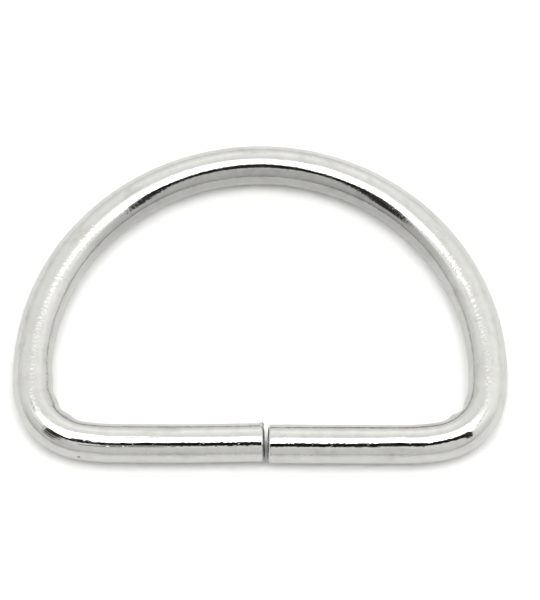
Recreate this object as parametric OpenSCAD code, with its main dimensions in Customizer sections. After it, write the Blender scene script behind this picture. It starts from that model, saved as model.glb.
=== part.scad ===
// D ring bent from one length of round wire, lying flat on its side.
// The straight bar carries a folded strap, the arch takes a hook or a second strap.
// The two ends of the wire meet in an open joint near the middle of the bar.

/* [Wire] */
// Diameter of the round wire
wire_d = 3; // [2:0.1:4]

/* [Ring] */
// Clear width inside the ring, the width of the webbing
inner_w = 32; // [26:0.5:42]
// Clear height inside the ring, from the bar to the top of the arch
inner_h = 20.2; // [17:0.1:25]
// Inside radius of the tight corner at each end of the bar
corner_in_r = 3; // [1.5:0.1:4.5]
// Radius of the gentle curve that leads from the bar into each corner
lead_r = 20; // [10:1:30]
// Angle that the gentle curve turns through, in degrees
lead_deg = 8; // [2:1:12]

/* [Joint] */
// Gap between the two ends of the wire
joint_gap = 0.25; // [0.1:0.05:1]
// Distance of the gap from the middle of the bar, towards the right
joint_x = 0.45; // [-2:0.05:2]
// Radius of the rounded rim of each end
end_round = 0.25; // [0.1:0.05:0.6]
// Distance that the left end leans in towards the arch
toe_in = 0.13; // [0.02:0.01:0.3]
// Straight stretch of the left leg, before it starts to lean in
left_straight = 2.4; // [0.5:0.1:4]

/* [Hidden] */
$fn = 96;

// Centrelines, drawn with the bar along the X axis and the arch above it
wire_r = wire_d / 2;
arch_r = inner_w / 2 + wire_r;
arch_y = inner_h + wire_d - arch_r;
corner_r = corner_in_r + wire_r;

// The corner leaves the gentle curve without a step, and meets the arch without a step
corner_y = lead_r - (lead_r - corner_r) * cos(lead_deg);
corner_x = sqrt(pow(arch_r - corner_r, 2) - pow(corner_y - arch_y, 2));
meet_deg = atan2(corner_y - arch_y, corner_x);
bar_half = corner_x - (lead_r - corner_r) * sin(lead_deg);

// A bent wire swells a little. Each bend is drawn fatter by this much on its radius, and the
// stretch beside it runs on into it by the lap, so every pair of stretches has one clean edge
bend_swell = 0.005;
lap = 0.1;

// The left leg leans in on one wide curve, up to the stretch that holds the rounded rim
left_end_x = joint_x - joint_gap / 2;
right_end_x = joint_x + joint_gap / 2;
lean_from_x = left_straight - bar_half;
lean_to_x = left_end_x - end_round;
lean_deg = 2 * atan(toe_in / (lean_to_x - lean_from_x));
lean_r = (lean_to_x - lean_from_x) / sin(lean_deg);

// Middle of the ring's outline, which is the origin, and the height at which the wire lies
middle_y = (arch_y + arch_r) / 2;
wire_z = wire_r + bend_swell;

// Wire bent about [x, y] on radius r, from one angle on through another
module bend(x, y, r, from_deg, turn_deg, section_r) {
    translate([x, y, 0])
        rotate([0, 0, from_deg])
            rotate_extrude(angle = turn_deg)
                translate([r, 0])
                    circle(r = section_r);
}

// Bend that is swollen, between two slim stretches
module swollen_bend(x, y, r, from_deg, turn_deg) {
    bend(x, y, r, from_deg, turn_deg, wire_r + bend_swell);
}

// Bend that laps into a swollen one at each end
module lapped_bend(x, y, r, from_deg, turn_deg) {
    lap_deg = lap / r * 180 / PI;
    bend(x, y, r, from_deg - lap_deg, turn_deg + 2 * lap_deg, wire_r);
}

// Straight wire along +X from the origin
module straight_wire(length) {
    rotate([90, 0, 90])
        cylinder(r = wire_r, h = length);
}

// Straight wire along +X from the origin, its far rim rounded
module rounded_wire(length) {
    rotate([90, 0, 90])
        rotate_extrude()
            intersection() {
                square([wire_r, length]);
                union() {
                    square([wire_r, length - end_round]);
                    square([wire_r - end_round, length]);
                    translate([wire_r - end_round, length - end_round])
                        circle(r = end_round);
                }
            }
}

// Right corner: the gentle curve out of the bar, then the tight bend up to the arch
module corner() {
    swollen_bend(bar_half, lead_r, lead_r, -90, lead_deg);
    lapped_bend(corner_x, corner_y, corner_r, lead_deg - 90, meet_deg + 90 - lead_deg);
}

module arch() {
    swollen_bend(0, arch_y, arch_r, meet_deg, 180 - 2 * meet_deg);
}

// Left leg of the bar: straight beside the corner, then leaning in to its rounded end
module left_leg() {
    translate([-bar_half - lap, 0, 0])
        straight_wire(left_straight + 2 * lap);
    swollen_bend(lean_from_x, lean_r, lean_r, -90, lean_deg);
    translate([lean_to_x, toe_in, 0])
        rotate([0, 0, lean_deg])
            translate([-lap, 0, 0])
                rounded_wire(lap + end_round);
}

// Right leg of the bar, straight from the corner to its rounded end
module right_leg() {
    translate([bar_half + lap, 0, 0])
        mirror([1, 0, 0])
            rounded_wire(bar_half + lap - right_end_x);
}

module wire_ring() {
    color([0.78, 0.78, 0.76])
        translate([0, -middle_y, wire_z]) {
            arch();
            corner();
            mirror([1, 0, 0])
                corner();
            left_leg();
            right_leg();
        }
}

wire_ring();
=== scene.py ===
"""A wire D ring in bright nickel plate, lying flat on a white table inside a light tent.

The ring is one piece of round wire. It is drawn along its centreline as a wire former bends it:
out from the joint to the right, round the corner, over the arch and back to the joint.
"""

from __future__ import annotations

import logging
import math
from collections.abc import Callable, Mapping, Sequence
from dataclasses import dataclass
from enum import Enum
from typing import NamedTuple

import bmesh
import bpy
import numpy as np
from mathutils import Matrix, Vector

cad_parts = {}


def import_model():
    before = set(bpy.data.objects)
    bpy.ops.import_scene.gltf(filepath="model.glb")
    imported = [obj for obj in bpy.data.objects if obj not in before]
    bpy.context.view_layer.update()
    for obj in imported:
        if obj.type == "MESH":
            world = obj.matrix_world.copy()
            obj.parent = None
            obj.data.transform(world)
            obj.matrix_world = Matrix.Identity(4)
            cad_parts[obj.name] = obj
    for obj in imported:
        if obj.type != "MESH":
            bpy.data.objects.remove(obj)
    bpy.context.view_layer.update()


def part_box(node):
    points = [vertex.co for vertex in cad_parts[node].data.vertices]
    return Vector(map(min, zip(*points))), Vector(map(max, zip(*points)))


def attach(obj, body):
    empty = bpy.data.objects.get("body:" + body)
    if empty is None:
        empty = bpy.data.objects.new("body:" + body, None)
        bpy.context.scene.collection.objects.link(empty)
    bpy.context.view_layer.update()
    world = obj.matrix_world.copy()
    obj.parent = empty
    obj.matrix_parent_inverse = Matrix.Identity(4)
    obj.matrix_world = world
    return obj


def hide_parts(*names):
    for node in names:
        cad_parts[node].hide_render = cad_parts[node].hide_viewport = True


log = logging.getLogger("d_ring")

MM = 0.001
UM = 0.000001


class Value:
    """A socket of a node tree on which sums are written as plain expressions."""

    def __init__(self, board: Board, socket: bpy.types.NodeSocket) -> None:
        """Wraps one output socket of the board's tree."""
        self.board = board
        self.socket = socket

    def __add__(self, other: Value | float) -> Value:
        """The sum of the two."""
        return self.board.math("ADD", self, other)

    def __radd__(self, other: Value | float) -> Value:
        """The sum of the two, with this one last."""
        return self.board.math("ADD", other, self)

    def __sub__(self, other: Value | float) -> Value:
        """This one less the other."""
        return self.board.math("SUBTRACT", self, other)

    def __rsub__(self, other: Value | float) -> Value:
        """The other less this one."""
        return self.board.math("SUBTRACT", other, self)

    def __mul__(self, other: Value | float) -> Value:
        """The product of the two."""
        return self.board.math("MULTIPLY", self, other)

    def __rmul__(self, other: Value | float) -> Value:
        """The product of the two, with this one last."""
        return self.board.math("MULTIPLY", other, self)

    def __truediv__(self, other: Value | float) -> Value:
        """This one divided by the other."""
        return self.board.math("DIVIDE", self, other)

    def __rtruediv__(self, other: Value | float) -> Value:
        """The other divided by this one."""
        return self.board.math("DIVIDE", other, self)


class Board:
    """A node tree, with short ways to add to it.

    A noise is moved along seed_way, as far as its seed says.
    """

    seed_way = (1.0, 1.7, 2.3)

    def __init__(self, tree: bpy.types.NodeTree) -> None:
        """Empties the tree and takes it over."""
        self.tree = tree
        self.tree.nodes.clear()

    def node(
        self,
        kind: str,
        settings: Mapping[str, object] | None = None,
        sockets: Mapping[str | int, object] | None = None,
    ) -> bpy.types.Node:
        """Adds a node of any kind.

        Args:
            kind: The node's type.
            settings: Its settings by name, which are set first. stops gives a ramp's stops, each
                a place from 0 to 1 and a brightness.
            sockets: What goes into its sockets, by name or number: a Value, or a constant.

        Returns:
            The new node.
        """
        new = self.tree.nodes.new(kind)
        for name, setting in (settings or {}).items():
            if name == "stops":
                self.set_stops(new.color_ramp, setting)
            else:
                setattr(new, name, setting)
        for name, given in (sockets or {}).items():
            if isinstance(given, Value):
                self.tree.links.new(given.socket, new.inputs[name])
            elif given is not None:
                new.inputs[name].default_value = given
        return new

    def value(
        self,
        kind: str,
        settings: Mapping[str, object] | None = None,
        sockets: Mapping[str | int, object] | None = None,
        output: str | int = 0,
    ) -> Value:
        """Adds a node and returns one of its outputs, by name or number."""
        return Value(self, self.node(kind, settings, sockets).outputs[output])

    @staticmethod
    def set_stops(ramp: bpy.types.ColorRamp, stops: Sequence[tuple[float, float]]) -> None:
        """Gives a ramp its stops.

        Args:
            ramp: The ramp of a node.
            stops: Each stop's place, from 0 to 1, and its brightness.
        """
        while len(ramp.elements) > 1:
            ramp.elements.remove(ramp.elements[-1])
        for number, (place, bright) in enumerate(stops):
            stop = ramp.elements[0] if number == 0 else ramp.elements.new(place)
            stop.position = place
            stop.color = (bright, bright, bright, 1.0)

    def math(self, operation: str, first: Value | float, second: Value | float | None = None) -> Value:
        """Adds a Math node of the operation on one or two values."""
        return self.value("ShaderNodeMath", {"operation": operation}, {0: first, 1: second})

    def vector(
        self, operation: str, sockets: Mapping[str | int, object], output: str | int = 0
    ) -> Value:
        """Adds a Vector Math node of the operation."""
        return self.value("ShaderNodeVectorMath", {"operation": operation}, sockets, output)

    def clamp(self, value: Value, low: float, high: float) -> Value:
        """The value, kept from low to high."""
        return self.value("ShaderNodeClamp", {}, {"Value": value, "Min": low, "Max": high})

    def step(self, value: Value, low: Value | float, high: Value | float) -> Value:
        """A smooth step, 0 where the value is at low and 1 where it is at high."""
        return self.value(
            "ShaderNodeMapRange",
            {"interpolation_type": "SMOOTHSTEP"},
            {"Value": value, "From Min": low, "From Max": high},
        )

    def ramp(self, value: Value, stops: Sequence[tuple[float, float]]) -> Value:
        """The brightness of a ramp at the value.

        Args:
            value: A number from the first stop's place to the last one's.
            stops: Places in rising order, with a brightness from 0 to 2 at each.

        Returns:
            The brightness.
        """
        first, last = stops[0][0], stops[-1][0]
        shares = [((place - first) / (last - first), bright / 2) for place, bright in stops]
        along = (value - first) / (last - first)
        return self.value("ShaderNodeValToRGB", {"stops": shares}, {"Fac": along}) * 2

    def split(self, vector: Value) -> tuple[Value, Value, Value]:
        """The three parts of a vector."""
        parts = self.node("ShaderNodeSeparateXYZ", {}, {0: vector}).outputs
        return Value(self, parts[0]), Value(self, parts[1]), Value(self, parts[2])

    def scaled(self, vector: Value, scale: tuple[float, float, float]) -> Value:
        """A vector whose parts are multiplied by three numbers."""
        return self.vector("MULTIPLY", {0: vector, 1: scale})

    def noise(self, vector: Value, detail: float, seed: float) -> Value:
        """Soft noise about 0, with one grain for each unit of the vector.

        Args:
            vector: The place where it is read.
            detail: The number of finer layers in it.
            seed: A number that moves it, so that no two noises are alike.

        Returns:
            The noise, from about -0.5 to 0.5.
        """
        away = tuple(seed * part for part in self.seed_way)
        moved = self.vector("ADD", {0: vector, 1: away})
        sockets = {"Vector": moved, "Scale": 1.0, "Detail": detail}
        return self.value("ShaderNodeTexNoise", {}, sockets) - 0.5

    def colour(
        self, factor: Value, first: Value | tuple[float, ...], second: Value | tuple[float, ...]
    ) -> Value:
        """A colour between two, at the factor."""
        # A Mix node has its colours at sockets 6 and 7, and gives the mixed one at output 2
        settings = {"data_type": "RGBA"}
        return self.value("ShaderNodeMix", settings, {0: factor, 6: first, 7: second}, 2)


@dataclass(frozen=True)
class Fade:
    """A smooth change from 0 to 1, as a coordinate or a noise goes from one value to another."""

    start: float
    end: float

    def of(self, board: Board, value: Value) -> Value:
        """The share that the value has reached."""
        return board.step(value, self.start, self.end)


@dataclass(frozen=True)
class Grain:
    """Soft noise that follows the wire, with its grains to the metre along, out and up."""

    rate: tuple[float, float, float]
    detail: float
    seed: float

    def over(self, board: Board, place: Value) -> Value:
        """The noise at a place on the wire, from about -0.5 to 0.5."""
        return board.noise(board.scaled(place, self.rate), self.detail, self.seed)


@dataclass(frozen=True)
class DarkBar:
    """A dark bar that the wire mirrors, drawn on the ceiling of the tent one unit above the ring.

    It runs from its start for its length. Its half width grows by its widening with each unit, and
    the softness is the share of it over which the edge fades to either side.
    """

    start: tuple[float, float]
    toward: tuple[float, float]
    length: float
    half_width: float
    widening: float
    softness: float
    bright: float

    def cover(self, board: Board, ceiling: tuple[Value, Value]) -> Value:
        """How much of each direction the bar hides.

        Args:
            board: The world's node tree.
            ceiling: Where the direction meets the ceiling, across and back.

        Returns:
            1 on the bar and 0 off it.
        """
        size = math.hypot(*self.toward)
        across, back = self.toward[0] / size, self.toward[1] / size
        from_x = ceiling[0] - self.start[0]
        from_y = ceiling[1] - self.start[1]
        along = board.clamp(from_x * across + from_y * back, 0.0, self.length)
        off_x = from_x - along * across
        off_y = from_y - along * back
        off = board.math("SQRT", off_x * off_x + off_y * off_y)
        edge = along * self.widening + self.half_width
        return 1 - board.step(off, edge * (1 - self.softness), edge * (1 + self.softness))


@dataclass(frozen=True)
class Oval:
    """A soft-edged oval of light on the ceiling, with its centre and half sizes across and back."""

    bright: float
    centre: tuple[float, float]
    half: tuple[float, float]
    softness: float

    def cover(self, board: Board, ceiling: tuple[Value, Value]) -> Value:
        """How much of each direction the oval takes up.

        Args:
            board: The world's node tree.
            ceiling: Where the direction meets the ceiling, across and back.

        Returns:
            1 inside the oval and 0 outside it.
        """
        across = (ceiling[0] - self.centre[0]) / self.half[0]
        back = (ceiling[1] - self.centre[1]) / self.half[1]
        reach = board.math("SQRT", across * across + back * back)
        return 1 - board.step(reach, 1 - self.softness, 1 + self.softness)


@dataclass(frozen=True)
class LightTent:
    """The white tent round the ring: pale walls, a bright ceiling panel and a dark opening before it.

    Heights are in degrees above the table, and brightness 1 is the white of the table. Each wall
    is given as stops of height and brightness. The back wall runs round to the sides, and the front
    wall takes over towards front_way. Behind and before are the narrow stretches of wall straight
    behind the ring and straight before it. The ceiling lies one unit above the ring.
    """

    back_wall: tuple[tuple[float, float], ...] = (
        (-10, 0.97),
        (5, 0.98),
        (15, 1.01),
        (25, 1.09),
        (38, 1.14),
        (50, 1.12),
        (62, 1.04),
        (90, 1.00),
    )
    behind: tuple[tuple[float, float], ...] = (
        (-10, 0.90),
        (5, 0.90),
        (14, 1.00),
        (22, 1.10),
        (33, 1.30),
        (40, 1.33),
        (48, 1.20),
        (58, 1.13),
        (66, 1.00),
        (90, 0.97),
    )
    front_wall: tuple[tuple[float, float], ...] = (
        (-10, 0.62),
        (3, 0.63),
        (12, 0.80),
        (25, 0.85),
        (38, 0.88),
        (47, 0.95),
        (90, 1.00),
    )
    before: tuple[tuple[float, float], ...] = (
        (-10, 0.66),
        (0, 0.66),
        (12, 0.78),
        (25, 0.83),
        (40, 0.83),
        (46, 0.98),
        (90, 1.00),
    )
    front_way: tuple[float, float] = (-0.10, -0.995)
    front_fade: Fade = Fade(-0.08, 0.75)
    behind_fade: Fade = Fade(0.90, 1.0)
    before_fade: Fade = Fade(0.95, 1.0)
    right_lift: float = 0.09
    panel: Oval = Oval(4.3, (-0.01, -0.28), (0.62, 0.47), 0.10)
    panel_rim: Oval = Oval(1.55, (-0.01, -0.28), (0.84, 0.54), 0.22)
    panel_foot: float = -0.45
    glow: Oval = Oval(1.39, (0.03, -0.12), (0.98, 0.42), 0.35)
    least_rise: float = 0.02
    seam_height: float = 1.5
    seam_half: float = 3.0
    seam_share: float = 0.95
    tint: tuple[float, float, float] = (1.0, 1.0, 0.985)
    seen_white: float = 1.1
    # Each bar's start, way, length, half width, widening, softness and brightness
    bars: tuple[DarkBar, ...] = (
        DarkBar((-0.513, -0.45), (-1.10, -0.88), 1.58, 0.238, 0.015, 0.14, 0.04),
        DarkBar((0.443, -0.455), (1.00, -0.86), 1.40, 0.172, -0.04, 0.18, 0.04),
        DarkBar((-0.40, -0.575), (1.0, 0.0), 0.85, 0.215, 0.0, 0.12, 0.01),
        DarkBar((-0.05, -0.42), (1.0, 0.0), 0.10, 0.15, 0.0, 0.20, 0.01),
        DarkBar((-0.53, 0.20), (-0.17, -0.36), 0.40, 0.050, 0.0, 0.50, 0.60),
        DarkBar((0.70, 0.10), (-0.02, -0.30), 0.30, 0.045, 0.0, 0.50, 0.70),
    )

    def paint(self) -> None:
        """Makes the world of the scene and paints the tent on it by direction."""
        world = bpy.data.worlds.new("light_tent")
        world.use_nodes = True
        bpy.context.scene.world = world
        board = Board(world.node_tree)
        direction = board.value("ShaderNodeTexCoord", output="Generated")
        bright = self.brightness(board, direction)
        hue = board.vector("SCALE", {0: self.tint, "Scale": bright})
        sky = board.value("ShaderNodeBackground", {}, {"Color": hue})
        white = {"Color": (1.0, 1.0, 1.0, 1.0), "Strength": self.seen_white}
        plain = board.value("ShaderNodeBackground", {}, white)
        seen = board.value("ShaderNodeLightPath", output="Is Camera Ray")
        both = board.value("ShaderNodeMixShader", {}, {0: seen, 1: sky, 2: plain})
        board.node("ShaderNodeOutputWorld", {}, {"Surface": both})

    def brightness(self, board: Board, direction: Value) -> Value:
        """How bright the tent is in a direction.

        Args:
            board: The world's node tree.
            direction: The direction, one unit long.

        Returns:
            The brightness, with the panel and the bars on the ceiling.
        """
        across, back, rise = board.split(direction)
        bright = self.wall(board, across, back, rise)
        above = board.math("MAXIMUM", rise, self.least_rise)
        ceiling = (across / above, back / above)
        glow = self.glow.cover(board, ceiling)
        bright = board.math("MAXIMUM", bright, bright + (self.glow.bright - bright) * glow)
        over_foot = board.math("GREATER_THAN", ceiling[1], self.panel_foot)
        for lit in (self.panel_rim, self.panel):
            bright = bright + (lit.bright - bright) * (lit.cover(board, ceiling) * over_foot)
        for bar in self.bars:
            bright = bright + (bar.bright - bright) * bar.cover(board, ceiling)
        return bright

    def wall(self, board: Board, across: Value, back: Value, rise: Value) -> Value:
        """How bright the walls are in a direction.

        Args:
            board: The world's node tree.
            across: The direction's part to the right.
            back: Its part to the back.
            rise: Its part upwards.

        Returns:
            The brightness of the walls, down to the seam where they meet the table.
        """
        height = board.math("ARCSINE", rise) * (180 / math.pi)
        level = board.math("SQRT", across * across + back * back)
        facing = (across * self.front_way[0] + back * self.front_way[1]) / level
        shares = (
            (self.front_wall, self.front_fade.of(board, facing)),
            (self.behind, self.behind_fade.of(board, back / level)),
            (self.before, self.before_fade.of(board, -1 * back / level)),
        )
        bright = board.ramp(height, self.back_wall)
        for stops, share in shares:
            bright = bright + (board.ramp(height, stops) - bright) * share
        bright = bright * (across / level * self.right_lift + 1)
        seam = 1 - board.step(board.math("ABSOLUTE", height - self.seam_height), 0.0, self.seam_half)
        return bright * (1 - seam * (1 - self.seam_share))


@dataclass(frozen=True)
class WhiteTable:
    """The plain white surface that the ring lies on. Where the wire mirrors it, its colour is painted
    darker than where the camera sees it, with painted shade that deepens towards the front.
    """

    radius: float = 0.6
    seen_shade: float = 1.0
    # Painted shade: where the wire mirrors the table its colour is darker than where the camera sees it,
    # and darker still towards the front
    mirrored_painted_shade: float = 0.83
    front_fade: Fade = Fade(-14.0 * MM, -40.0 * MM)
    front_painted_shade: float = 0.24
    roughness: float = 0.30
    soak: float = 0.5 * MM
    edges: int = 128

    def build(self) -> bpy.types.Object:
        """Lays the table under the ring.

        Returns:
            The table.
        """
        bpy.ops.mesh.primitive_circle_add(vertices=self.edges, radius=self.radius, fill_type="NGON")
        table = bpy.context.object
        table.name = "white_table"
        matt = bpy.data.materials.new("matt_white")
        matt.use_nodes = True
        board = Board(matt.node_tree)
        seen = board.value("ShaderNodeLightPath", output="Is Camera Ray")
        back = board.split(board.value("ShaderNodeTexCoord", output="Object"))[1]
        # Painted shade on the table's colour, for rays that are not the camera's
        mirrored = (1 - self.front_fade.of(board, back) * self.front_painted_shade) * self.mirrored_painted_shade
        sockets = {
            "Base Color": seen * (self.seen_shade - mirrored) + mirrored,
            "Roughness": self.roughness,
            "Subsurface Weight": 1.0,
            "Subsurface Radius": (1.0, 1.0, 1.0),
            "Subsurface Scale": self.soak,
        }
        surface = board.value("ShaderNodeBsdfPrincipled", {"subsurface_method": "BURLEY"}, sockets)
        board.node("ShaderNodeOutputMaterial", {}, {"Surface": surface})
        table.data.materials.append(matt)
        return table


@dataclass(frozen=True)
class Mark:
    """A small round pit or nick in the plate, flat over a share of its radius in the middle, with painted
    shade in it.
    """

    centre: tuple[float, float, float]
    radius: float
    depth: float
    # Painted shade that darkens the mark's hollow, 1 for black
    painted_shade: float
    flat: float = 0.35

    def cover(self, board: Board, point: Value) -> Value:
        """1 in the middle of the mark and 0 outside it."""
        off = board.vector("DISTANCE", {0: point, 1: self.centre}, "Value")
        return 1 - board.step(off, self.flat * self.radius, self.radius)


@dataclass(frozen=True)
class Scratch:
    """A fine groove along the bar.

    It lies out from the wire's middle, goes from its first place across the ring to its last one,
    and fades in and out there. Its width is measured from its middle to its edge.
    """

    out: float
    first: float
    last: float
    width: float
    depth: float
    flat: float = 0.1
    fade_in: float = 0.2 * MM
    fade_out: float = 0.6 * MM

    def cover(self, board: Board, out: Value, across: Value) -> Value:
        """How deep in the groove a point lies.

        Args:
            board: The plate's node tree.
            out: How far out from the wire's middle the point lies.
            across: How far across the ring it lies.

        Returns:
            1 in the bottom of the groove and 0 beside it.
        """
        aside = board.math("ABSOLUTE", out - self.out)
        begun = board.step(across, self.first - self.fade_in, self.first + self.fade_in)
        ended = board.step(across, self.last - self.fade_out, self.last + self.fade_out)
        return (1 - board.step(aside, self.flat * self.width, self.width)) * begun * (1 - ended)


@dataclass(frozen=True)
class WirePoint:
    """Where a point of the surface lies.

    Its place is along, out and up on the wire. The point itself lies across and back in the ring.
    """

    place: Value
    along: Value
    out: Value
    up: Value
    point: Value
    across: Value
    back: Value

    @classmethod
    def read(cls, board: Board) -> WirePoint:
        """Reads it from the piece's wire_place attribute and its Object coordinates.

        Args:
            board: The plate's node tree.

        Returns:
            The place and the point, with their parts.
        """
        place = board.value("ShaderNodeAttribute", {"attribute_name": "wire_place"}, output="Vector")
        along, out, up = board.split(place)
        point = board.value("ShaderNodeTexCoord", output="Object")
        across, back, _ = board.split(point)
        return cls(place, along, out, up, point, across, back)


@dataclass(frozen=True)
class NickelPlate:
    """Bright nickel plate on drawn wire, with lengthwise draw lines under it and a faint peel.

    The plate's roughness and relief differ a little from zone to zone: the arch, the two sides, the bar
    and its left part. The inner side of the wire, the underside of the bar and the cut face of its
    left end are painted darker, as painted shade. A field that ends in along, out, up, across or
    back says how a zone fades in by that coordinate.
    """

    name: str = "nickel_plate"
    colour: tuple[float, float, float, float] = (0.64, 0.64, 0.62, 1.0)
    dull: tuple[float, float, float, float] = (0.56, 0.56, 0.54, 1.0)
    warm: tuple[float, float, float, float] = (0.625, 0.612, 0.60, 1.0)
    roughness: float = 0.07
    smudge_roughness: float = 0.05
    side_roughness: float = 0.11
    arch_roughness: float = 0.03
    arch_back: Fade = Fade(0.0, 7.0 * MM)
    bar_back: Fade = Fade(-9.0 * MM, -11.0 * MM)
    side_across: Fade = Fade(12.0 * MM, 16.0 * MM)
    side_back: Fade = Fade(-10.0 * MM, -7.5 * MM)
    left_across: Fade = Fade(-5.0 * MM, -9.0 * MM)
    left_back: Fade = Fade(-7.0 * MM, -9.0 * MM)
    # Painted shade: the inner side of the wire, most on the arch, is painted darker for the shaded table
    # that it mirrors inside the ring
    inner_out: Fade = Fade(-0.5 * MM, -0.9 * MM)
    inner_up: Fade = Fade(-0.6 * MM, 0.3 * MM)
    inner_painted_shade: float = 0.31
    inner_share_off_arch: float = 0.25
    # Painted shade: the underside of the bar is painted darker, for the contact shadow on the table that
    # it mirrors
    under_up: Fade = Fade(0.35 * MM, -0.8 * MM)
    under_painted_shade: float = 0.08
    # Painted shade: the cut face of the wire's left end is painted darker, for the shade in the joint's
    # gap
    cut_along: Fade = Fade(-0.05 * MM, -0.16 * MM)
    cut_across: Fade = Fade(0.55 * MM, 0.40 * MM)
    cut_painted_shade: float = 0.55
    lines: Grain = Grain((70.0, 5500.0, 5500.0), 1.0, 3.0)
    line_height: float = 3.0 * UM
    left_lines: float = 3.5
    peel: Grain = Grain((4500.0, 4500.0, 4500.0), 1.0, 5.0)
    peel_height: float = 7.0 * UM
    side_peel: float = 1.2
    waves: Grain = Grain((450.0, 450.0, 450.0), 0.0, 7.0)
    wave_height: float = 20.0 * UM
    smudges: Grain = Grain((500.0, 1200.0, 1200.0), 2.0, 9.0)
    smudge_fade: Fade = Fade(0.02, 0.25)
    specks: Grain = Grain((5200.0, 6500.0, 6500.0), 0.0, 11.0)
    speck_fade: Fade = Fade(0.22, 0.36)
    speck_depth: float = 3.0 * UM
    stripes: Grain = Grain((1500.0, 300.0, 300.0), 2.0, 13.0)
    stripe_swing: float = 0.10
    warmth: Grain = Grain((900.0, 700.0, 700.0), 1.0, 15.0)
    warm_fade: Fade = Fade(0.0, 0.22)
    chatter: Grain = Grain((2200.0, 5000.0, 5000.0), 1.0, 17.0)
    chatter_height: float = 3.5 * UM
    # Each mark's centre, radius, depth and painted shade
    marks: tuple[Mark, ...] = (
        Mark((-13.82 * MM, -12.866 * MM, 1.75 * MM), 0.17 * MM, 12.0 * UM, 0.95),
        Mark((8.27 * MM, -12.24 * MM, 2.86 * MM), 0.12 * MM, 9.0 * UM, 0.0),
    )
    # Each scratch's way out, first and last place across, width and depth
    scratches: tuple[Scratch, ...] = (
        Scratch(0.73 * MM, -13.9 * MM, -7.5 * MM, 0.05 * MM, 6.5 * UM),
        Scratch(0.82 * MM, -17.2 * MM, -15.2 * MM, 0.05 * MM, 8.0 * UM),
        Scratch(0.95 * MM, -17.2 * MM, -15.4 * MM, 0.05 * MM, 8.0 * UM),
    )

    def dress(self, piece: bpy.types.Object) -> None:
        """Plates the piece.

        Args:
            piece: The ring, with an attribute wire_place that notes each point's place on the wire.
        """
        plate = bpy.data.materials.new(self.name)
        plate.use_nodes = True
        board = Board(plate.node_tree)
        at = WirePoint.read(board)
        arch = self.arch_back.of(board, at.back)
        bar = self.bar_back.of(board, at.back)
        side = self.side_across.of(board, board.math("ABSOLUTE", at.across))
        side = side * self.side_back.of(board, at.back)
        hits = [mark.cover(board, at.point) for mark in self.marks]
        height = self.relief(board, at, bar, side, hits)
        # The plate's colour is multiplied by its painted shade and its random stripes
        light = self.light(board, at, arch, bar, hits)
        smudged = self.smudge_fade.of(board, self.smudges.over(board, at.place))
        rough = smudged * self.smudge_roughness + side * self.side_roughness
        rough = rough + arch * self.arch_roughness + self.roughness
        warmed = self.warm_fade.of(board, self.warmth.over(board, at.place))
        tone = board.colour(smudged, self.colour, self.dull)
        tone = board.colour(warmed, tone, self.warm)
        shaded = board.vector("SCALE", {0: tone, "Scale": light})
        bump = board.value("ShaderNodeBump", {}, {"Height": height, "Distance": 1.0, "Strength": 1.0})
        sockets = {"Base Color": shaded, "Metallic": 1.0, "Roughness": rough, "Normal": bump}
        surface = board.value("ShaderNodeBsdfPrincipled", {}, sockets)
        board.node("ShaderNodeOutputMaterial", {}, {"Surface": surface})
        piece.data.materials.clear()
        piece.data.materials.append(plate)

    def relief(
        self, board: Board, at: WirePoint, bar: Value, side: Value, hits: Sequence[Value]
    ) -> Value:
        """The fine relief of the plate.

        Args:
            board: The plate's node tree.
            at: Where the point lies.
            bar: 1 on the bar and 0 off it.
            side: 1 on the ring's two sides and 0 off them.
            hits: 1 in each of the marks and 0 outside it.

        Returns:
            How far the surface stands out, in metres.
        """
        left = self.left_across.of(board, at.across) * self.left_back.of(board, at.back)
        lines = self.lines.over(board, at.place) * (left * self.left_lines + 1)
        peel = self.peel.over(board, at.place) * (side * self.side_peel + 1)
        specks = self.speck_fade.of(board, self.specks.over(board, at.place))
        height = lines * self.line_height + self.waves.over(board, at.place) * self.wave_height
        height = height + peel * self.peel_height - specks * self.speck_depth
        height = height + self.chatter.over(board, at.place) * bar * self.chatter_height
        for scratch in self.scratches:
            height = height - scratch.cover(board, at.out, at.across) * bar * scratch.depth
        for mark, hit in zip(self.marks, hits):
            height = height - hit * mark.depth
        return height

    def light(
        self, board: Board, at: WirePoint, arch: Value, bar: Value, hits: Sequence[Value]
    ) -> Value:
        """How light the plate is, with painted shade on the inner side, under the bar, on the cut face
        and in the pits, and random stripes.

        Args:
            board: The plate's node tree.
            at: Where the point lies.
            arch: 1 on the arch and 0 off it.
            bar: 1 on the bar and 0 off it.
            hits: 1 in each of the marks and 0 outside it.

        Returns:
            About 1, less where painted shade darkens the plate, and a little off 1 along the stripes.
        """
        off_arch = self.inner_share_off_arch
        # Painted shade on the inner side, strongest on the arch
        inner = self.inner_out.of(board, at.out) * (arch * (1 - off_arch) + off_arch)
        inner = inner * self.inner_up.of(board, at.up)
        # Painted shade under the bar
        under = self.under_up.of(board, at.up) * bar
        # Painted shade on the cut face at the joint
        cut = self.cut_along.of(board, at.along) * self.cut_across.of(board, at.across)
        stripes = self.stripes.over(board, at.place)
        light = 1 - inner * self.inner_painted_shade - under * self.under_painted_shade + stripes * self.stripe_swing
        light = light * (1 - cut * self.cut_painted_shade)
        # Painted shade in the pits
        for mark, hit in zip(self.marks, hits):
            light = light * (1 - hit * mark.painted_shade)
        return light


class Run(Enum):
    """How a stretch of the wire runs."""

    STRAIGHT = "straight"
    BEND = "bend"


class Side(Enum):
    """A side of the ring, with the sign of its places across."""

    LEFT = -1
    RIGHT = 1


class Falloff(Enum):
    """How a nudge dies away round its middle."""

    SMOOTH = "SMOOTH"
    SPHERE = "SPHERE"


class RimRow(NamedTuple):
    """A row of a cut rim's profile: out from where it starts, and in from the surface, in millimetres."""

    out: float
    drop: float


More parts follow.
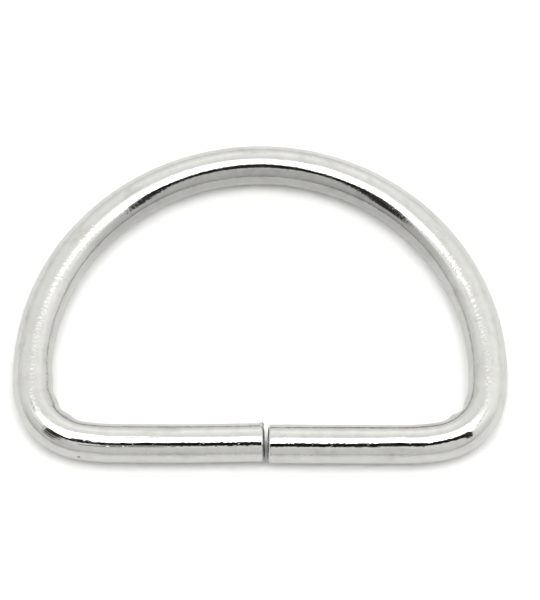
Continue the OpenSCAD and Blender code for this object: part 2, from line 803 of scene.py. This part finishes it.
@dataclass(frozen=True)
class Stretch:
    """One stretch of the wire's centreline, which goes straight or turns to the left.

    Its heading is the angle at which it starts, from the ring's right, and its step is the length
    of one ring of faces along it.
    """

    run: Run
    start: Vector
    heading: float
    length: float
    radius: float
    step: float

    @property
    def ahead(self) -> Vector:
        """The direction in which the stretch starts."""
        return Vector((math.cos(self.heading), math.sin(self.heading), 0.0))

    @property
    def left(self) -> Vector:
        """The direction to the left of its start, where a bend has its centre."""
        return Vector((-math.sin(self.heading), math.cos(self.heading), 0.0))

    @property
    def centre(self) -> Vector:
        """The centre that a bend turns about."""
        return self.start + self.left * self.radius

    @property
    def turn(self) -> float:
        """The angle that the stretch turns through."""
        return self.length / self.radius if self.run is Run.BEND else 0.0

    @property
    def steps(self) -> int:
        """The number of rings of faces along the stretch."""
        return max(2, round(self.length / self.step))

    @property
    def finish(self) -> Vector:
        """The point where the stretch ends."""
        if self.run is Run.STRAIGHT:
            return self.start + self.ahead * self.length
        return self.centre + Matrix.Rotation(self.turn, 3, "Z") @ (self.start - self.centre)

    def places(self, points: np.ndarray) -> tuple[np.ndarray, np.ndarray]:
        """Where points lie beside the stretch.

        Args:
            points: Points on the wire's surface, one in a row.

        Returns:
            How far along the stretch each is, and how far out from the centreline, away from the
            inside of the ring.
        """
        if self.run is Run.STRAIGHT:
            off = points - np.array(self.start)
            return off @ np.array(self.ahead), -(off @ np.array(self.left))
        arms = points[:, :2] - np.array(self.centre.to_2d())
        first = (self.start - self.centre).to_2d()
        across = first.x * arms[:, 1] - first.y * arms[:, 0]
        angle = np.arctan2(across, arms @ np.array(first))
        angle = np.where(angle < self.turn / 2 - math.pi, angle + 2 * math.pi, angle)
        return angle * self.radius, np.hypot(arms[:, 0], arms[:, 1]) - self.radius


@dataclass(frozen=True)
class Nudge:
    """A small move of the surface at one place, as a tool or a knock leaves it.

    It starts at the one point that lies nearest its place. With a drop it is an upright groove,
    and starts at all points that lie under that one, within the groove's half width.
    """

    name: str
    place: tuple[float, float, float]
    move: tuple[float, float, float]
    reach: float
    falloff: Falloff
    drop: float = 0.0
    groove_half: float = 0.06 * MM

    def takes(self, point: Vector, spot: Vector) -> bool:
        """Whether the move starts at a point.

        Args:
            point: The point.
            spot: The point that lies nearest the nudge's place.

        Returns:
            True if it starts there, and False if the point only follows.
        """
        aside = (point - spot).to_2d().length
        below = spot.z - point.z
        return aside < (self.groove_half if self.drop else UM) and -UM < below < self.drop + UM


@dataclass
class WireRing:
    """The ring itself, with its sizes in metres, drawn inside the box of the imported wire_ring node."""

    low: Vector
    high: Vector
    bend_swell: float = 0.005 * MM
    inner_h: float = 20.2 * MM
    corner_in_r: float = 3.0 * MM
    lead_r: float = 20.0 * MM
    lead_deg: float = 8.0
    joint_gap: float = 0.25 * MM
    joint_x: float = 0.48 * MM
    end_round: float = 0.25 * MM
    toe_in: float = 0.13 * MM
    left_straight: float = 2.4 * MM
    sides: int = 96
    step: float = 0.20 * MM
    tip_step: float = 0.08 * MM
    tip_length: float = 1.2 * MM
    right_rim: tuple[RimRow, ...] = (
        RimRow(0.03, 0.003),
        RimRow(0.08, 0.018),
        RimRow(0.13, 0.048),
        RimRow(0.175, 0.095),
        RimRow(0.21, 0.155),
        RimRow(0.235, 0.23),
        RimRow(0.25, 0.33),
    )
    left_rim: tuple[RimRow, ...] = (
        RimRow(0.01, 0.001),
        RimRow(0.03, 0.009),
        RimRow(0.13, 0.052),
        RimRow(0.15, 0.070),
        RimRow(0.215, 0.185),
        RimRow(0.235, 0.235),
        RimRow(0.25, 0.30),
    )
    face_insets: tuple[float, ...] = (0.25, 0.25, 0.22)
    pinch_z: float = 1.9 * MM
    press_out: float = 0.70
    press_up: float = 0.71
    left_press_x: float = -13.1 * MM
    right_press_x: float = 10.7 * MM
    wave_size: float = 3.0 * MM
    wave_height: float = 6.0 * UM
    overlap: float = 0.6 * MM
    smooth_deg: float = 40.0

    @property
    def wire_r(self) -> float:
        """The radius of the wire's section."""
        return (self.high.z - self.low.z) / 2 - self.bend_swell

    @property
    def arch_r(self) -> float:
        """The radius of the arch's centreline."""
        return (self.high.x - self.low.x) / 2 - self.wire_r - self.bend_swell

    @property
    def bar_y(self) -> float:
        """How far forward the bar's centreline lies."""
        return -(self.inner_h + 2 * self.wire_r) / 2

    @property
    def corner_r(self) -> float:
        """The radius of a corner's centreline."""
        return self.corner_in_r + self.wire_r

    @property
    def arch_rise(self) -> float:
        """How far behind the bar's centreline the arch has its centre."""
        return self.inner_h + 2 * self.wire_r - self.arch_r

    @property
    def corner_centre(self) -> Vector:
        """The centre of the right corner's tight bend."""
        rise = self.lead_r - (self.lead_r - self.corner_r) * math.cos(math.radians(self.lead_deg))
        across = math.sqrt((self.arch_r - self.corner_r) ** 2 - (rise - self.arch_rise) ** 2)
        return Vector((across, self.bar_y + rise, self.wire_r + self.bend_swell))

    def stretches(self) -> list[Stretch]:
        """The wire's centreline.

        Returns:
            Its stretches, from the right end of the wire round to the left end.
        """
        corner_r = self.corner_r
        lead = math.radians(self.lead_deg)
        corner_x = self.corner_centre.x
        meet = math.atan2(self.corner_centre.y - self.bar_y - self.arch_rise, corner_x)
        bar_half = corner_x - (self.lead_r - corner_r) * math.sin(lead)
        tight = math.pi / 2 - lead + meet
        right_tip = self.joint_x + self.joint_gap / 2 + self.end_round
        lean_from = self.left_straight - bar_half
        lean_to = self.joint_x - self.joint_gap / 2 - self.end_round
        lean = 2 * math.atan(self.toe_in / (lean_to - lean_from))
        lean_r = (lean_to - lean_from) / math.sin(lean)
        # Each stretch's run, length, radius and step
        plan: list[tuple[Run, float, float, float]] = [
            (Run.STRAIGHT, self.tip_length, math.inf, self.tip_step),
            (Run.STRAIGHT, bar_half - right_tip - self.tip_length, math.inf, self.step),
            (Run.BEND, self.lead_r * lead, self.lead_r, self.step),
            (Run.BEND, corner_r * tight, corner_r, self.step / 2),
            (Run.BEND, self.arch_r * (math.pi - 2 * meet), self.arch_r, self.step),
            (Run.BEND, corner_r * tight, corner_r, self.step / 2),
            (Run.BEND, self.lead_r * lead, self.lead_r, self.step),
            (Run.STRAIGHT, self.left_straight, math.inf, self.step),
            (Run.BEND, lean_r * lean - self.tip_length, lean_r, self.step),
            (Run.BEND, self.tip_length, lean_r, self.tip_step),
        ]
        found: list[Stretch] = []
        start = Vector((right_tip, self.bar_y, self.wire_r + self.bend_swell))
        heading = 0.0
        for run, length, radius, step in plan:
            stretch = Stretch(run, start, heading, length, radius, step)
            found.append(stretch)
            start = stretch.finish
            heading += stretch.turn
        return found

    def pinch(
        self, name: str, side: Side, angle: float, depth: float, reach: float, drop: float = 0.0
    ) -> Nudge:
        """A crease or a bulge that the bending tool left on the inside of a corner.

        Args:
            name: Its name.
            side: The side that the corner is on.
            angle: Its place in degrees, from level with the corner's centre down towards the bar.
            depth: How far it goes into the wire, or out of it if negative, in millimetres.
            reach: How far round it the surface gives way, in millimetres.
            drop: How far it runs down the wire's side from its place, in millimetres.

        Returns:
            The crease or the bulge.
        """
        corner = self.corner_centre
        way = self.way_out(side, angle)
        place = Vector((side.value * corner.x, corner.y, self.pinch_z)) + way * self.corner_in_r
        move = way * depth * MM
        return Nudge(name, tuple(place), tuple(move), reach * MM, Falloff.SMOOTH, drop * MM)

    @staticmethod
    def way_out(side: Side, angle: float) -> Vector:
        """The level direction out from a corner's centre, at an angle as for pinch."""
        turn = math.radians(angle)
        return Vector((side.value * math.cos(turn), -math.sin(turn), 0.0))

    def outside(self, side: Side, angle: float) -> tuple[Vector, Vector]:
        """A place in a corner.

        Args:
            side: The side that the corner is on.
            angle: The place, in degrees as for pinch.

        Returns:
            The point of the centreline there, and the direction out of the ring.
        """
        corner = self.corner_centre
        way = self.way_out(side, angle)
        middle = Vector((side.value * corner.x, corner.y, corner.z)) + way * self.corner_r
        return middle, way

    def press(self, name: str, middle: Vector, way: Vector, depth: float, reach: float) -> Nudge:
        """A place where the wire was pressed a little flat from outside and above.

        Args:
            name: Its name.
            middle: Its point of the centreline.
            way: The direction from there out of the ring.
            depth: How far it goes in, in millimetres.
            reach: How far round it the surface gives way, in millimetres.

        Returns:
            The flat.
        """
        slant = (way * self.press_out + Vector((0.0, 0.0, self.press_up))).normalized()
        place = middle + slant * self.wire_r
        move = slant * -depth * MM
        return Nudge(name, tuple(place), tuple(move), reach * MM, Falloff.SMOOTH)

    def nudges(self) -> list[Nudge]:
        """The small marks of the cutter and the bending pins.

        Returns:
            The marks, in the order in which they are made.
        """
        inner_y = self.bar_y + self.wire_r
        forward = Vector((0.0, -1.0, 0.0))
        left_bar = Vector((self.left_press_x, self.bar_y, self.corner_centre.z))
        right_bar = Vector((self.right_press_x, self.bar_y, self.corner_centre.z))
        left, right = Side.LEFT, Side.RIGHT
        return [
            Nudge(
                "left_burr",
                place=(0.30 * MM, inner_y + 0.05 * MM, 2.1 * MM),
                move=(0.05 * MM, 0.07 * MM, 0.04 * MM),
                reach=0.28 * MM,
                falloff=Falloff.SPHERE,
            ),
            self.pinch("left_shoulder", left, angle=-8, depth=-0.08, reach=1.50),
            self.pinch("left_swell", left, angle=23, depth=-0.15, reach=1.20),
            self.pinch("left_bulge", left, angle=57, depth=-0.12, reach=0.85),
            self.pinch("left_crease", left, angle=37, depth=0.07, reach=0.45),
            self.pinch("right_swell", right, angle=18, depth=-0.04, reach=0.60),
            self.pinch("right_bulge", right, angle=54, depth=-0.10, reach=0.60),
            self.pinch("right_crease", right, angle=39, depth=0.20, reach=0.72, drop=0.9),
            self.press("left_flat", *self.outside(left, angle=76), depth=0.060, reach=2.4),
            self.press("left_bar_flat", left_bar, forward, depth=0.055, reach=2.0),
            self.press("right_flat", *self.outside(right, angle=76), depth=0.085, reach=2.4),
            self.press("right_bar_flat", right_bar, forward, depth=0.075, reach=2.2),
        ]

    def build(self) -> bpy.types.Object:
        """Bends, cuts and marks the wire, and places it on the CAD body.

        Returns:
            The ring, not yet plated.
        """
        route = self.stretches()
        ring = self.draw(route)
        self.mark(ring)
        self.wave(ring)
        self.note_places(ring, route)
        bpy.ops.object.shade_smooth_by_angle(angle=math.radians(self.smooth_deg))
        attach(ring, "root")
        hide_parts("wire_ring")
        return ring

    def draw(self, route: Sequence[Stretch]) -> bpy.types.Object:
        """Draws the wire and closes both ends.

        Args:
            route: The centreline's stretches in order.

        Returns:
            The bare wire, at its place in its mesh.
        """
        first = route[0]
        bpy.ops.object.select_all(action="DESELECT")
        bpy.ops.mesh.primitive_circle_add(
            vertices=self.sides,
            radius=self.wire_r,
            fill_type="NOTHING",
            location=first.start,
            rotation=(0.0, math.pi / 2, 0.0),
        )
        ring = bpy.context.object
        ring.name = "plated_wire_ring"
        bpy.ops.object.transform_apply(location=True, rotation=True, scale=True)
        bpy.ops.object.mode_set(mode="EDIT")
        self.close_end(first.start, -first.ahead, self.right_rim)
        self.select(ring, lambda point: abs(point.x - first.start.x) < UM)
        for stretch in route:
            self.extend(stretch)
        last = route[-1]
        heading = last.heading + last.turn
        self.close_end(last.finish, Vector((math.cos(heading), math.sin(heading), 0.0)), self.left_rim)
        bpy.ops.mesh.select_all(action="SELECT")
        bpy.ops.mesh.remove_doubles(threshold=UM)
        bpy.ops.mesh.normals_make_consistent(inside=False)
        bpy.ops.mesh.select_all(action="DESELECT")
        bpy.ops.object.mode_set(mode="OBJECT")
        return ring

    @staticmethod
    def extend(stretch: Stretch) -> None:
        """Takes the selected ring of points along one stretch.

        Args:
            stretch: The stretch, which starts at the selected points.
        """
        if stretch.run is Run.STRAIGHT:
            offset = stretch.ahead * (stretch.length / stretch.steps)
            bpy.ops.mesh.extrude_repeat(steps=stretch.steps, offset=offset)
        else:
            bpy.ops.mesh.spin(
                steps=stretch.steps,
                angle=stretch.turn,
                center=stretch.centre,
                axis=(0.0, 0.0, -1.0),
                use_auto_merge=False,
            )

    def close_end(self, tip: Vector, outward: Vector, rim: Sequence[RimRow]) -> None:
        """Shapes the rim of a cut end and closes its face.

        Args:
            tip: The centre of the ring of points that is selected.
            outward: The direction in which the wire ends.
            rim: The rim's profile, from the wire's surface in to the face.
        """
        radius = self.wire_r
        gone = 0.0
        for row in rim:
            bpy.ops.mesh.extrude_region_move(
                TRANSFORM_OT_translate={"value": outward * (row.out * MM - gone)}
            )
            gone = row.out * MM
            share = (self.wire_r - row.drop * MM) / radius
            bpy.ops.transform.resize(value=(share, share, share), center_override=tip + outward * gone)
            radius = self.wire_r - row.drop * MM
        bpy.ops.mesh.edge_face_add()
        for share in self.face_insets:
            bpy.ops.mesh.inset(thickness=radius * share, use_boundary=True)
        bpy.ops.mesh.poke()
        bpy.ops.mesh.select_all(action="DESELECT")

    @staticmethod
    def select(ring: bpy.types.Object, wanted: Callable[[Vector], bool]) -> None:
        """Selects points in edit mode, and nothing else.

        Args:
            ring: The piece.
            wanted: Whether the point at a place is selected.
        """
        bpy.ops.mesh.select_all(action="DESELECT")
        bpy.ops.mesh.select_mode(type="VERT")
        mesh = bmesh.from_edit_mesh(ring.data)
        for point in mesh.verts:
            point.select = wanted(point.co)
        mesh.select_flush(True)
        bmesh.update_edit_mesh(ring.data)

    def mark(self, ring: bpy.types.Object) -> None:
        """Pulls the surface at each of the small marks, and less and less round it.

        Args:
            ring: The bare wire.
        """
        bpy.ops.object.mode_set(mode="EDIT")
        for nudge in self.nudges():
            place = Vector(nudge.place)
            mesh = bmesh.from_edit_mesh(ring.data)
            nearest = min(mesh.verts, key=lambda point: (point.co - place).length_squared)
            spot = nearest.co.copy()
            self.select(ring, lambda point: nudge.takes(point, spot))
            bpy.ops.transform.translate(
                value=nudge.move,
                use_proportional_edit=True,
                use_proportional_connected=True,
                proportional_edit_falloff=nudge.falloff.value,
                proportional_size=nudge.reach,
            )
            log.info("%s at %s", nudge.name, [round(part / MM, 2) for part in spot])
        bpy.ops.mesh.select_all(action="DESELECT")
        bpy.ops.object.mode_set(mode="OBJECT")

    def wave(self, ring: bpy.types.Object) -> None:
        """Gives the surface the slight long waves of drawn wire.

        Args:
            ring: The marked wire.
        """
        clouds = bpy.data.textures.new("drawn_waves", "CLOUDS")
        clouds.noise_scale = self.wave_size
        clouds.noise_depth = 1
        displace = ring.modifiers.new("drawn_waves", "DISPLACE")
        displace.texture = clouds
        displace.texture_coords = "LOCAL"
        displace.strength = 2 * self.wave_height
        displace.mid_level = 0.5
        bpy.context.view_layer.objects.active = ring
        bpy.ops.object.modifier_apply(modifier=displace.name)
        bpy.data.textures.remove(clouds)

    def note_places(self, ring: bpy.types.Object, route: Sequence[Stretch]) -> None:
        """Notes on each point how far along the wire it lies, and its place in the wire's section.

        A point may lie a little before or past a stretch, by the overlap, and takes its place from
        the one whose centreline is nearest. Past either end of the wire, along is below zero.

        Args:
            ring: The wire in its last shape.
            route: The centreline's stretches in order.
        """
        flat = np.empty(3 * len(ring.data.vertices))
        ring.data.vertices.foreach_get("co", flat)
        points = flat.reshape(-1, 3)
        noted = np.column_stack([np.zeros(len(points)), np.full(len(points), 1.0), points[:, 2]])
        noted[:, 2] -= route[0].start.z
        begun = 0.0
        for stretch in route:
            along, out = stretch.places(points)
            beside = (along > -self.overlap) & (along < stretch.length + self.overlap)
            better = beside & (np.abs(out) < np.abs(noted[:, 1]))
            noted[better, 0] = begun + along[better]
            noted[better, 1] = out[better]
            begun += stretch.length
        past = noted[:, 0] > begun
        noted[past, 0] = begun - noted[past, 0]
        notes = ring.data.attributes.new("wire_place", "FLOAT_VECTOR", "POINT")
        notes.data.foreach_set("vector", noted.ravel())


@dataclass(frozen=True)
class ViewCamera:
    """The camera at the photograph's angle, far off, with a long lens.

    It sees the target, a point level with the wire's middle, at target_px in a frame of frame_px.
    """

    elevation_deg: float = 68.18
    turn_deg: float = 0.175
    roll_deg: float = 0.036
    distance: float = 400.0 * MM
    pixels_per_mm: float = 12.959
    frame_px: tuple[float, float] = (540.0, 600.0)
    target: tuple[float, float, float] = (0.0, -1.6 * MM, 1.505 * MM)
    target_px: tuple[float, float] = (260.384, 322.181)
    sensor: float = 36.0
    clip_start: float = 10.0 * MM
    clip_end: float = 10.0

    def place(self) -> bpy.types.Object:
        """Puts the camera in the scene.

        Returns:
            The camera.
        """
        turn = Matrix.Rotation(math.radians(self.turn_deg), 3, "Z")
        rise = math.radians(self.elevation_deg)
        back = turn @ Vector((0.0, -math.cos(rise), math.sin(rise)))
        right = turn @ Vector((1.0, 0.0, 0.0))
        roll = Matrix.Rotation(math.radians(self.roll_deg), 3, back)
        right = roll @ right
        upward = back.cross(right)
        scale = MM / self.pixels_per_mm
        aim = Vector(self.target)
        aim += right * (self.frame_px[0] / 2 - self.target_px[0]) * scale
        aim += upward * (self.target_px[1] - self.frame_px[1] / 2) * scale
        data = bpy.data.cameras.new("view_camera")
        data.sensor_width = self.sensor
        data.lens = self.sensor * self.distance / (max(self.frame_px) * scale)
        data.clip_start = self.clip_start
        data.clip_end = self.clip_end
        camera = bpy.data.objects.new("view_camera", data)
        bpy.context.scene.collection.objects.link(camera)
        axes = Matrix((right, upward, back)).transposed()
        camera.matrix_world = Matrix.Translation(aim + back * self.distance) @ axes.to_4x4()
        bpy.context.scene.camera = camera
        return camera


def main() -> None:
    """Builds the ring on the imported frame, with its table, tent and camera."""
    logging.basicConfig(level=logging.INFO, format="%(name)s: %(message)s")
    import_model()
    bpy.context.scene.view_settings.view_transform = "Standard"
    ViewCamera().place()
    LightTent().paint()
    WhiteTable().build()
    ring = WireRing(*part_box("wire_ring")).build()
    NickelPlate().dress(ring)
    log.info("%s: %d faces", ring.name, len(ring.data.polygons))


if __name__ == "__main__":
    main()
